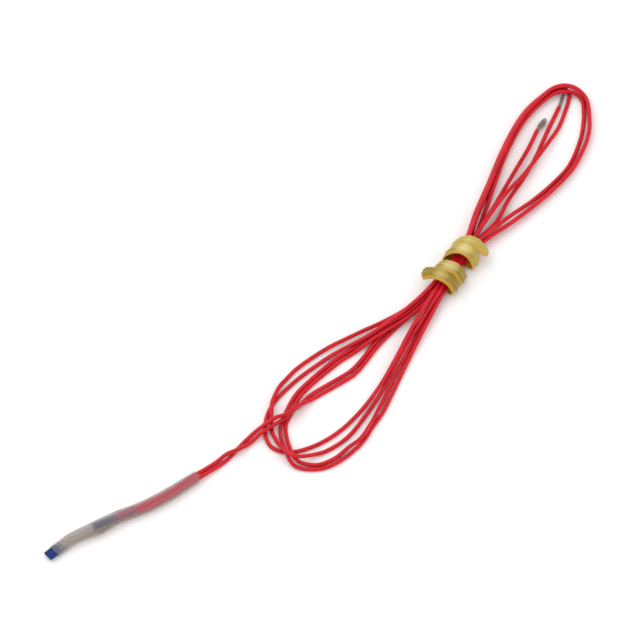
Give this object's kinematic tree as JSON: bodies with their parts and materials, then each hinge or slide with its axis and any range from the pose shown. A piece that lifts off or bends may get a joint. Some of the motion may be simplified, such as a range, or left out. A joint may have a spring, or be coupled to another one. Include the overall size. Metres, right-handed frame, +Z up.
{
  "type": "resistance temperature detector",
  "caption": "Thin-film temperature detector: blue chip half inside a translucent sleeve, with red insulated leads in a figure-eight hank held by a wax-yellow twist tie.",
  "frame": {"origin": "bottom centre of the sensing head's box, on the surface it lies on", "axes": "+X along the head from the chip to the leads, +Z up"},
  "size_m": [0.1494, 0.0536, 0.0057],
  "materials": {
    "ceramic": "satin",
    "platinum": "satin",
    "blue_glaze": "gloss",
    "bead_glass": "gloss",
    "solder": "satin",
    "tinned_copper": "satin",
    "sleeve": "satin",
    "red_insulation": "gloss",
    "yellow_tie": "satin",
    "steel_wire": "satin"
  },
  "bodies": {
    "root": {"substrate": "ceramic", "platinum_track": "platinum", "contact_pads": "platinum", "cover_glaze": "blue_glaze", "fixing_bead": "bead_glass", "element_wire_a": "platinum", "element_wire_b": "platinum", "joint_a": "solder", "joint_b": "solder", "strands_a": "tinned_copper", "strands_b": "tinned_copper", "inner_sleeve": "sleeve", "outer_sleeve": "sleeve", "lead_a": "red_insulation", "lead_b": "red_insulation", "tinned_end_a": "tinned_copper", "tinned_end_b": "tinned_copper", "tie_strip": "yellow_tie", "tie_wire": "steel_wire"}
  },
  "joints": []
}
